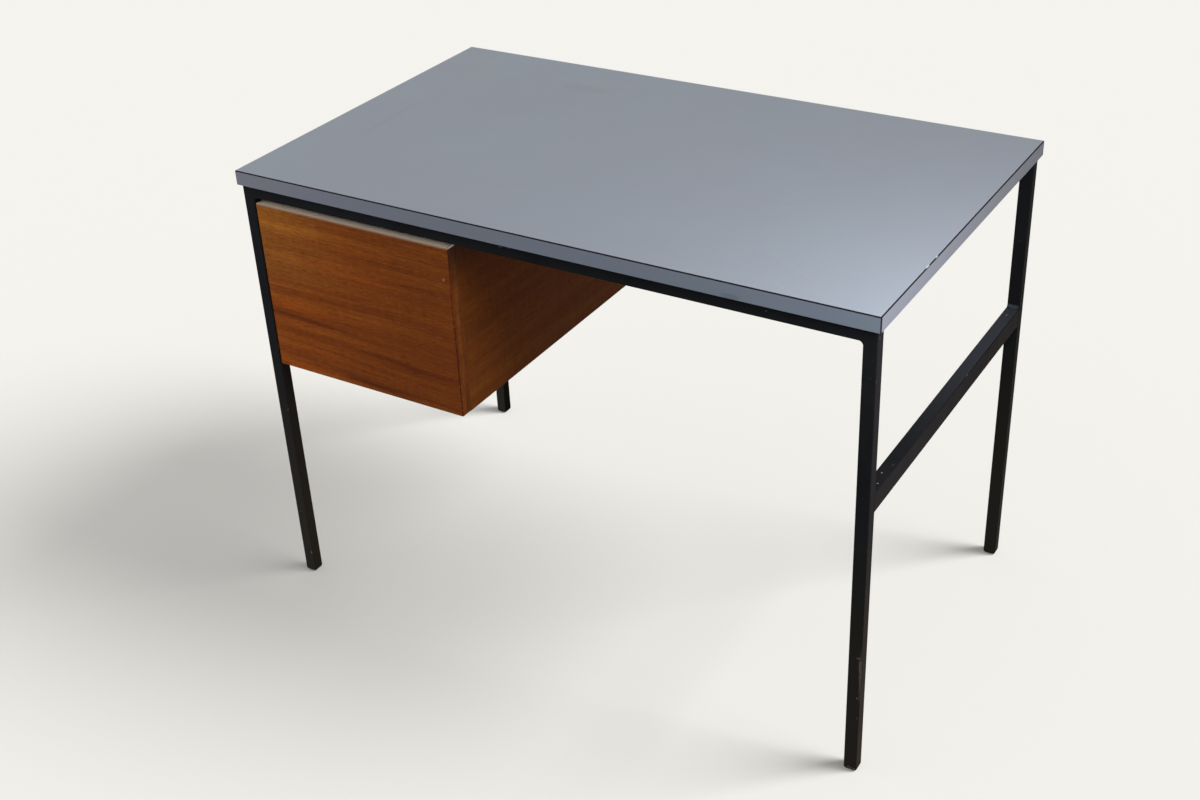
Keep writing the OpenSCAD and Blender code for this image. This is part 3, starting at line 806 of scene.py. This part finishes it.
class DESK_OT_stage(bpy.types.Operator):
    """Make the floor, the lamps, the surroundings and the camera"""

    bl_idname = "desk.make_stage"
    bl_label = "Stage"

    def execute(self, context):
        scene = context.scene
        scene.view_settings.view_transform = "Standard"

        scene.world = bpy.data.worlds.new("Surroundings")
        w = Wiring(scene.world)
        soft = w.node("ShaderNodeBackground", {"Color": (1, 1, 1), "Strength": 0.33})
        paper = w.node("ShaderNodeBackground", {"Color": shade(244, 243, 238),
                                                "Strength": 1.0})
        both = w.node("ShaderNodeMixShader", {0: seen(w), 1: soft.outputs[0],
                                              2: paper.outputs[0]})
        w.node("ShaderNodeOutputWorld", {"Surface": both.outputs[0]})

        material = bpy.data.materials.new("Floor")
        w = Wiring(material)
        lit = w.node("ShaderNodeBsdfDiffuse", {"Color": w.mix(
            seen(w), shade(111, 110, 108), shade(195, 194, 190))})
        w.node("ShaderNodeOutputMaterial", {"Surface": lit.outputs[0]})
        reach = 40
        mesh = bpy.data.meshes.new("floor")
        mesh.from_pydata([(-reach, -reach, 0), (reach, -reach, 0), (reach, reach, 0),
                          (-reach, reach, 0)], [], [(0, 1, 2, 3)])
        mesh.materials.append(material)
        floor = bpy.data.objects.new("floor", mesh)
        scene.collection.objects.link(floor)

        ground = self.light_set("Floor only", floor, "INCLUDE")
        desk = self.light_set("All but the floor", floor, "EXCLUDE")
        feet = bpy.data.collections.new(FEET)
        for place in PLACES:
            feet.objects.link(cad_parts["leg_" + place])
        down = (0, 0, -1)
        for name, towards, energy, angle, target, blocked in (
                ("Shadow sun", (-0.669, -0.329, -0.667), 3.36, 0.50, ground, None),
                ("Floor fill", down, 0.89, 0.02, ground, ground),
                ("Foot shadows", (-0.672, -0.218, -0.707), 1.5, 0.65, ground, feet),
                ("Soft sky", down, 0.22, 3.0, desk, None)):
            sun = self.lamp(scene, name, "SUN", towards, energy, target, angle=angle)
            if blocked is not None:
                sun.light_linking.blocker_collection = blocked
        for name, place, towards, energy, size in (
                ("Near window", (0.813, -0.385, 1.038), (-0.39, 0.235, -0.34), 4.6, 0.4),
                ("Left window", (-2.6, -2.4, 1.4), (2.4, 2.2, -0.8), 28.0, 1.6),
                ("High window", (-1.36, -1.5, 4.06), (1.26, 1.5, -3.36), 59.0, 2.0),
                ("Back window", (-1.9, 3.6, 4.0), (1.9, -3.6, -3.3), 6.0, 2.4)):
            window = self.lamp(scene, name, "AREA", towards, energy, desk, size=size)
            window.location = place
            window.visible_glossy = name != "Near window"

        camera = bpy.data.cameras.new("Camera")
        camera.lens = 48.03673
        camera.sensor_width = 36.0
        camera.shift_y = -0.016432
        camera.clip_start = 0.05
        holder = bpy.data.objects.new("Camera", camera)
        holder.location = (1.10036, -1.84273, 1.60878)
        holder.rotation_euler = (math.radians(59.549342), math.radians(2.459727),
                                 math.radians(31.228117))
        scene.collection.objects.link(holder)
        scene.camera = holder
        return {"FINISHED"}

    @staticmethod
    def light_set(name, floor, state):
        """The objects that a lamp lights: the floor alone, or everything but the floor, so that
        the floor keeps an even tone and a soft shadow."""
        lit = bpy.data.collections.new(name)
        lit.objects.link(floor)
        lit.collection_objects[0].light_linking.link_state = state
        return lit

    @staticmethod
    def lamp(scene, name, kind, towards, energy, lit, **size):
        """A lamp that points along a direction and lights one set of objects. Where it gets a
        blocker collection, only those objects throw a shadow in its light."""
        data = bpy.data.lights.new(name, kind)
        data.energy = energy
        for key, value in size.items():
            setattr(data, key, value)
        holder = bpy.data.objects.new(name, data)
        holder.rotation_mode = "QUATERNION"
        holder.rotation_quaternion = Vector(towards).to_track_quat("-Z", "Y")
        holder.visible_camera = False
        holder.light_linking.receiver_collection = lit
        scene.collection.objects.link(holder)
        return holder


# The desk

class DESK_OT_worktop(bpy.types.Operator):
    """Make the top sheet and the edge strips, and finish the board and the sheet under it"""

    bl_idname = "desk.make_worktop"
    bl_label = "Worktop"

    def execute(self, context):
        sizes, colours = chosen(context)
        grey = laminate("Top laminate", colours["laminate"], gloss=0.25, smudges=SMUDGES,
                        chips=CHIPS)
        strip = laminate("Strip laminate", colours["strip"], gloss=0.12,
                         smudges=STRIP_SMUDGES, extra=strip_tone_and_painted_light)
        core = sheet_core(colours["sheet_core"])
        shell = eased_board("top_laminate", 2, (SHARP, sizes.sheet_edge), corner=0.0012,
                            steps=5)
        make_piece("worktop_sheet", [shell], "desk_frame",
                   ["top_laminate"], [grey, core], lambda n: n[:, 2] < 0.99)
        edge, lapping = sizes.strip_edge, 0.0008
        for side, axis, sign, end in (("front", 0, -1, lapping), ("back", 0, 1, lapping),
                                      ("left", 1, -1, edge), ("right", 1, 1, edge)):
            node = "edge_band_" + side
            shell = eased_board(node, axis, (end, end), corner=edge)
            make_piece("strip_" + side, [shell], "desk_frame", [node],
                       [strip, core], lambda n: n[:, 1 - axis] * sign < 0.93)
        dress(chipboard(), "top_core")
        dress(backing(colours["backing"]), "top_backing")
        return {"FINISHED"}


def carry(origin, side, rise, across, a, b, way):
    """Points at origin + a side + b rise + way across, with the arms as unit vectors."""
    side, rise, across = (np.array(v, float) for v in (side, rise, across))
    return (np.array(origin) + a[..., None] * side + b[..., None] * rise
            + np.broadcast_to(way, a.shape)[..., None] * across)


def weld(arms, width, tube_round, way, a, b, trim):
    """A weld in the corner between two arms, from the rows a and b of its outline along them. It
    sinks with the tube's round corners on both sides of its width, and a hair deeper."""
    hair = 0.0001
    out = np.maximum(np.abs(way) * width / 2 - (width / 2 - tube_round), 0)
    sink = tube_round - np.sqrt(np.maximum(tube_round ** 2 - out ** 2, 0)) + hair
    a, b = (np.concatenate([v, np.zeros_like(way)], 1) - sink for v in (a, b))
    return carry(*arms, a, b, way * width / 2 * trim)


def weld_fill(arms, radius, width, tube_round, lumps, seed):
    """Filled corner weld. Its section is a hollow quarter circle between the arms: at t the
    outline is radius (1 - sin t) along one arm and radius (1 - cos t) along the other. Across the
    tubes its radius shrinks towards both edges with the fourth power of the way out, and slow
    sines make it lumpy."""
    way = np.linspace(-1, 1, 25)[:, None]
    t = np.linspace(0, np.pi / 2, 13)[None]
    ripple = 1 + lumps * (np.sin(9 * way + seed) * 0.6 + np.sin(4 * t * 2 + 5 * way + seed) * 0.4)
    size = radius * (1 - 0.22 * way ** 4) * ripple
    return weld(arms, width, tube_round, way, size * (1 - np.sin(t)), size * (1 - np.cos(t)),
                trim=0.985)


def weld_bead(arms, radius, width, tube_round, lumps, seed):
    """Round weld bead. At t the outline is radius cos t along one arm and radius sin t along the
    other, pushed in to a flatter bead in the middle, with ripples across the tubes where the weld
    was laid down drop by drop."""
    way = np.linspace(-1, 1, 41)[:, None]
    t = np.linspace(0, np.pi / 2, 11)[None]
    ripple = 1 + lumps * (np.abs(np.sin(11 * way + seed)) * 0.8 + np.sin(3 * way + seed) * 0.6)
    size = radius * np.sqrt(np.maximum(1 - 0.5 * way ** 4, 0)) * ripple * 0.93
    flat = 1 - 0.13 * np.sin(2 * t)
    return weld(arms, width, tube_round, way, size * np.cos(t) * flat, size * np.sin(t) * flat,
                trim=0.97)


def groove_fill(arms, size, reach, seed):
    """Weld in the groove where a tube ends on the round corner of another. Its section fills the
    groove: the outline starts a lap before the flat end, spreads over the groove, bulges a hair
    past the faces, and comes back along the round corner; along the groove the bulge follows slow
    sines."""
    way = np.linspace(-0.5, 0.5, 33)[:, None]
    t = np.linspace(0, 1, 7)[None]
    hair, lap, spread = 0.00022, 0.0004, 0.0009
    bulge = hair * np.sin(np.pi * t) * (1 + 0.8 * np.sin(31 * way + seed))
    a = np.concatenate([-lap + (size + spread) * t + 0 * way,
                        np.full_like(way, size * 0.35)], 1)
    b = np.concatenate([bulge, np.full_like(way, -size * 0.9)], 1)
    return carry(*arms, a, b, way * reach)


class DESK_OT_frame(bpy.types.Operator):
    """Make the welds, and finish the tubes and the screws"""

    bl_idname = "desk.make_frame"
    bl_label = "Steel frame"

    def execute(self, context):
        sizes, colours = chosen(context)
        black = paint(colours["paint"])
        dress(black, *("leg_" + place for place in PLACES), "rail_front", "rail_rear",
              "stretcher_left", "stretcher_right")
        dress(steel(colours["zinc"]), "rail_screws", "case_top_screws",
              "case_side_screws", "back_pins", "runner_screws", "drawer_front_screws")

        leg_low, leg_high = corners("leg_front_right")
        rail_low, rail_high = corners("rail_front")
        bar_low, bar_high = corners("stretcher_right")
        leg_x, leg_y = (leg_low[0] + leg_high[0]) / 2, -(leg_low[1] + leg_high[1]) / 2
        in_x, in_y = rail_high[0], bar_high[1]
        rail_mid, bar_mid = (rail_low[2] + rail_high[2]) / 2, (bar_low[2] + bar_high[2]) / 2
        tube, corner = leg_high[0] - leg_low[0], sizes.tube_round
        rail_flat, bar_flat = tube - 2 * corner, bar_high[2] - bar_low[2] - 2 * corner
        up, down = (0, 0, 1), (0, 0, -1)

        fills, beads, grooves = [], [], []
        for x, y in ((-1, -1), (-1, 1), (1, -1), (1, 1)):
            seed = 1.7 * x + 2.9 * y
            arms = (x * in_x, y * leg_y, rail_low[2]), (-x, 0, 0), down, (0, 1, 0)
            fills.append(weld_fill(arms, sizes.weld_fill, tube, corner, lumps=0.05,
                                   seed=seed))
            arms = (x * leg_x, y * in_y, bar_low[2]), (0, -y, 0), down, (1, 0, 0)
            beads.append(weld_fill(arms, sizes.weld_under, tube, corner, lumps=0.07,
                                   seed=seed))
            arms = (x * leg_x, y * in_y, bar_high[2]), (0, -y, 0), up, (1, 0, 0)
            beads.append(weld_bead(arms, sizes.weld_bead, tube, corner, lumps=0.10,
                                   seed=seed))
            for face in (-1, 1):
                arms = (x * in_x, y * leg_y + face * tube / 2, rail_mid), (x, 0, 0), \
                    (0, face, 0), up
                grooves.append(groove_fill(arms, corner, rail_flat, seed + face))
            for face in (-1, 1):
                arms = (x * leg_x + face * tube / 2, y * in_y, bar_mid), (0, y, 0), \
                    (face, 0, 0), up
                grooves.append(groove_fill(arms, corner, bar_flat, seed + face))
        for name, shells, nodes in (("corner_weld_fills", fills, ["corner_welds"]),
                                    ("stretcher_weld_beads", beads, ["stretcher_welds"]),
                                    ("ground_welds", grooves, [])):
            make_piece(name, shells, "desk_frame", nodes, [black],
                       level_faces=False)
        return {"FINISHED"}


class DESK_OT_glides(bpy.types.Operator):
    """Make the four moulded glides"""

    bl_idname = "desk.make_glides"
    bl_label = "Glides"

    def execute(self, context):
        sizes, colours = chosen(context)
        material = plastic(colours["plastic"])
        feet = bpy.data.collections.get(FEET)
        for place in PLACES:
            shell = self.shell(*corners("glide_" + place), sizes.foot_round, sizes.tube_round)
            piece = make_piece("foot_" + place, [shell], "desk_frame",
                               ["glide_" + place], [material])
            if feet is not None:
                feet.objects.link(piece)
        return {"FINISHED"}

    @staticmethod
    def shell(low, high, edge, corner):
        """Glide: a round-cornered square carried up a stepped profile of insets and levels. The
        foot rolls in by edge (1 - sin t) over edge (1 - cos t) and grows rounder, the rim is full
        width up to the tube, and the plug is drawn in by the tube's wall and carries two low
        ribs."""
        t = np.linspace(0, np.pi / 2, 7)
        rim, wall, rib, hair = 0.004, 0.0017, 0.0001, 0.0002
        profile = [(rim - 0.0003, 0.0), (rim, hair), (rim, wall)]
        for foot in (0.008, 0.016):
            profile += [(foot, wall), (foot + 0.0005, wall - rib), (foot + 0.0015, wall - rib),
                        (foot + 0.002, wall)]
        profile += [(high[2] - 0.001, wall), (high[2], wall + 0.001)]
        levels, insets = np.array(profile).T
        rise = np.concatenate([edge * (1 - np.cos(t)), levels])
        inset = np.concatenate([edge * (1 - np.sin(t)) + hair, insets])
        radius = np.where(rise < rim - hair, corner + inset * 0.8,
                          np.maximum(corner - inset * 0.6, 0.0006))
        return stacked(low, high, 2, rise, inset, radius, 7)


class DESK_OT_case(bpy.types.Operator):
    """Make the case with its runners, dowels and back"""

    bl_idname = "desk.make_case"
    bl_label = "Case"

    def execute(self, context):
        sizes, colours = chosen(context)
        tones = colours["mahogany"]
        low, high = corners("case_side_right")

        def painted_depth_shade(w, base):
            """Painted shade: the case grows darker towards the back and upwards under the worktop,
            leaving the front a little more orange, and a painted shadow lies on the front just
            below the top.
            """
            y, z = w.parts(w.at)[1:]
            depth = w.line(w.minus(z, low[2]), 0.35, y)
            # Painted shadow on the front of the case just below the top
            shaded = w.times(w.between(y, low[1] + 0.11, low[1] + 0.03),
                             w.between(z, high[2] - 0.10, high[2] - 0.035))
            base = w.tinted(base, (0.48, 0.42, 0.50), shaded)
            # Painted shade, deeper towards the back and upwards
            return w.mix(w.between(depth, low[1] + 0.002, low[1] + 0.15),
                         w.tinted(base, (0.87, 0.92, 0.98)), w.tinted(base, (0.58, 0.56, 0.31)))

        # Painted shade: the left side of the case is darker than the front, and browner
        def browner_with_painted_shade(w, base):
            return w.tinted(base, (0.78, 0.70, 0.50))

        side = wood("Case mahogany", tones, ACROSS, streaks=48.0, contrast=0.38, pores=0.4,
                    ripple=0.25, gloss=0.02, extra=painted_depth_shade)
        far_side = wood("Left case mahogany", tones, ACROSS, streaks=48.0, contrast=0.45,
                        pores=0.4, ripple=0.25, gloss=0.05, extra=browner_with_painted_shade)
        cross = wood("Cross mahogany", tones, ALONG, streaks=52.0, contrast=0.5, pores=0.5,
                     ripple=0.2, gloss=0.08)
        upright = wood("Upright mahogany", tones, UPRIGHT, streaks=90.0, contrast=0.5,
                       pores=0.5, ripple=0.1, gloss=0.04, extra=painted_depth_shade)
        pale = beech("Case beech", colours["beech"], ACROSS)
        eased_copies({"case_side_left": far_side, "case_side_right": side,
                      "case_bottom": cross, "case_lipping_left": upright,
                      "case_lipping_right": upright, "case_lipping_bottom": cross},
                     sizes.board_edge, "desk_frame")
        eased_copies({"runner_left": pale, "runner_right": pale, "case_top": pale},
                     sizes.board_edge, "desk_frame")
        dress(pale, "case_dowels")
        dress(plywood(colours["ply"]), "case_back")
        return {"FINISHED"}


class DESK_OT_drawer_front(bpy.types.Operator):
    """Make the veneered drawer front and its lippings"""

    bl_idname = "desk.make_drawer_front"
    bl_label = "Drawer front"

    def execute(self, context):
        sizes, colours = chosen(context)
        light, middle, dark = tones = colours["mahogany"]
        pale, wear = colours["lipping"], sizes.hand_wear
        low, high = corners("drawer_front_veneer")
        top_low, top_high = corners("drawer_lipping_top")
        front_box = low, (high[0], corners("drawer_front_core")[1][1], high[2])

        def face_finish(w, base):
            """The figure with its painted sheen, light and shade, a knock, a dark line down the
            right edge and a worn, pale top edge.
            """
            base = veneer_figure(w, base)
            centre, reach, tone = KNOCK
            base = w.mix(w.mark(centre, reach, 0.9), base, tone)
            x, z = w.parts(w.at)[::2]
            line = w.times(w.between(x, high[0] - 0.0022, high[0] - 0.0008),
                           w.between(z, 0.625, 0.575),
                           w.between(w.noise(w.at, 160.0), 0.30, 0.50))
            base = w.tinted(base, (0.42, 0.38, 0.36), line)
            cloud = w.line(w.noise(w.at, 55.0, 4.0, 0.6), 0.004, -0.0045)
            top = w.between(w.minus(z, high[2] - wear), cloud, -0.0006)
            return w.mix(w.times(top, 0.6), base, toned(pale, 0.33))

        def lipping_painted_light_and_shade(w, base):
            """Painted light and shade: the lipping is painted lighter against the rail's shade, and
            its front, which catches more light, darker and browner.
            """
            front = w.between(w.parts(w.at)[1], top_low[1] + 0.0065, top_low[1] + 0.001)
            # Painted light over the whole lipping, painted shade on its front
            return w.tinted(w.scaled(base, 1.12), (0.47, 0.43, 0.385), front)

        def blotches_and_painted_shade(w, base):
            """Painted shade makes it much darker towards the top; soft darker and lighter patches
            lie where the edge has been touched up.
            """
            cloud = w.noise(w.place(w.at, (60, 60, 26)), 1.0, 4.0, 0.6)
            blotch = w.mix(w.between(cloud, 0.35, 0.65), (0.76, 0.74, 0.66),
                           (1.05, 1.03, 0.96))
            height = w.between(w.parts(w.at)[2], 0.565, 0.675)
            # Painted shade: darker towards the top
            return w.tinted(base, w.mix(height, blotch, (0.22, 0.20, 0.19)))

        face = wood("Front veneer", tones, ALONG, streaks=66.0, contrast=0.60, pores=0.6,
                    ripple=0.22, gloss=0.05, extra=face_finish,
                    rub=(*front_box, 0.0014, toned(middle, 0.7)))
        worn = wood("Worn lipping", (toned(pale, 1.25), pale, toned(pale, 0.72, 0.67, 0.63)),
                    ALONG, streaks=120.0, contrast=0.25, pores=0.10, ripple=0.0, gloss=0.1,
                    extra=lipping_painted_light_and_shade)
        blotchy = wood("Upright lipping", (light, toned(middle, 0.98), dark), UPRIGHT,
                       streaks=75.0, contrast=0.75, pores=0.4, ripple=0.5, gloss=0.03,
                       extra=blotches_and_painted_shade, rub=(*front_box, 0.0012, dark))
        flat = wood("Lower lipping", tones, ALONG, streaks=75.0, contrast=0.5, pores=0.4,
                    ripple=0.2, gloss=0.08)
        core = wood("Front core", (shade(190, 150, 100), shade(170, 128, 82),
                                   shade(136, 98, 60)), ALONG, streaks=40.0, contrast=0.5,
                    pores=0.3, ripple=0.1)

        shell = eased_board("drawer_front_veneer", 1, (sizes.front_edge, SHARP),
                            corner=0.0020, lowered=0.8 * wear)
        make_piece("drawer_front_face", [shell], "drawer",
                   ["drawer_front_veneer"], [face])
        shell = self.worn_board(top_low, top_high, wear)
        make_piece("front_lipping_top", [shell], "drawer",
                   ["drawer_lipping_top"], [worn])
        for side, axis, end, finish in (("left", 2, SHARP, blotchy), ("right", 2, SHARP, blotchy),
                                        ("bottom", 0, 0.001, flat)):
            node = "drawer_lipping_" + side
            shell = eased_board(node, axis, (end, end), corner=0.0004)
            make_piece("front_lipping_" + side, [shell], "drawer", [node], [finish])
        dress(core, "drawer_front_core")
        return {"FINISHED"}

    @staticmethod
    def worn_board(low, high, wear):
        """The top lipping: a round-cornered oblong carried along X. Its upper side falls towards
        the front edge by wear times the square of the share of the front 11 mm, more between the
        ends, where hands pull the drawer, with two slow sines."""
        x = np.linspace(low[0], high[0], 90)
        ring = oblong((high[1] - low[1]) / 2, (high[2] - low[2]) / 2, radius=0.0006,
                      steps=6)[0]
        way = np.linspace(0, len(ring), 120, endpoint=False)
        ring = np.stack([np.interp(way, np.arange(len(ring) + 1), np.append(side, side[0]))
                         for side in ring.T], -1)
        rows = np.empty((len(x), len(ring), 3))
        rows[..., 0] = x[:, None]
        rows[..., 1:] = (low[1:] + high[1:]) / 2 + ring
        way = (x - low[0]) / (high[0] - low[0])
        hump = 0.8 + np.sin(np.pi * way) ** 2 * (0.12 + 0.05 * np.sin(17 * way)
                                                 + 0.03 * np.sin(41 * way))
        reach = 0.011
        front = np.clip(1 - (rows[..., 1] - low[1]) / reach, 0, 1) ** 2
        upper = np.clip((rows[..., 2] - low[2]) / (high[2] - low[2]), 0, 1)
        rows[..., 2] -= wear * hump[:, None] * front * upper
        return rows


class DESK_OT_drawer_box(bpy.types.Operator):
    """Make the drawer box: inner front, back, sides and bottom"""

    bl_idname = "desk.make_drawer_box"
    bl_label = "Drawer box"

    def execute(self, context):
        sizes, colours = chosen(context)
        along = beech("Side beech", colours["beech"], ACROSS)
        across = beech("Cross beech", colours["beech"], ALONG, shift=(0.3, 0.2, 0.1))
        eased_copies({"drawer_side_left": along, "drawer_side_right": along,
                      "drawer_inner_front": across, "drawer_back": across},
                     sizes.box_edge, "drawer")
        dress(hardboard(colours["board"]), "drawer_bottom")
        return {"FINISHED"}


class DESK_PT_panel(bpy.types.Panel):
    """Lists the steps that make the desk, with its sizes and colours"""

    bl_label = "Writing desk"
    bl_idname = "DESK_PT_panel"
    bl_space_type = "VIEW_3D"
    bl_region_type = "UI"
    bl_category = "Writing desk"

    def draw(self, context):
        for step in STEPS:
            self.layout.operator(step.bl_idname)
        for group in (context.scene.desk_sizes, context.scene.desk_colours):
            box = self.layout.box()
            for label in group.__annotations__:
                box.prop(group, label)


STEPS = (DESK_OT_stage, DESK_OT_worktop, DESK_OT_frame, DESK_OT_glides, DESK_OT_case,
         DESK_OT_drawer_front, DESK_OT_drawer_box)
CLASSES = (DeskSizes, DeskColours) + STEPS + (DESK_PT_panel,)


def register():
    for entry in CLASSES:
        bpy.utils.register_class(entry)
    bpy.types.Scene.desk_sizes = bpy.props.PointerProperty(type=DeskSizes)
    bpy.types.Scene.desk_colours = bpy.props.PointerProperty(type=DeskColours)


def unregister():
    del bpy.types.Scene.desk_sizes
    del bpy.types.Scene.desk_colours
    for entry in reversed(CLASSES):
        bpy.utils.unregister_class(entry)


def main():
    """Makes the desk step by step."""
    register()
    make_groups()
    bpy.ops.desk.make_stage()
    bpy.ops.desk.make_worktop()
    bpy.ops.desk.make_frame()
    bpy.ops.desk.make_glides()
    bpy.ops.desk.make_case()
    bpy.ops.desk.make_drawer_front()
    bpy.ops.desk.make_drawer_box()


if __name__ == "__main__":
    main()
